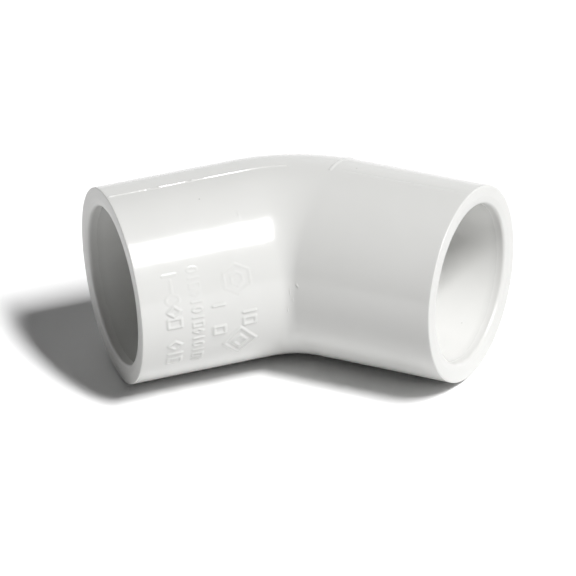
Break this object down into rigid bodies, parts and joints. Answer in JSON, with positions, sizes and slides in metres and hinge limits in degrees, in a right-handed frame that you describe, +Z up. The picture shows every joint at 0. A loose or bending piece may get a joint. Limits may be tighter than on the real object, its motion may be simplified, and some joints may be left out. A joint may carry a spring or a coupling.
{
  "type": "pipe elbow",
  "caption": "Rigid white PVC 45 degree elbow with a plain socket at each end, which turns a run of pressure pipe.",
  "frame": {"origin": "on the surface that the elbow lies on, under the middle of its outline", "axes": "+Z up from that surface, which is square to the plane of the bend; X runs from one socket mouth to the other and the elbow is the same on both sides of X = 0; +Y points to the outer side of the bend, and both sockets slope towards -Y"},
  "size_m": [0.0726, 0.0428, 0.0333],
  "materials": {
    "white_pvc": "smooth moulded, semi-gloss"
  },
  "bodies": {
    "root": {"elbow_body": "white_pvc"}
  },
  "joints": []
}
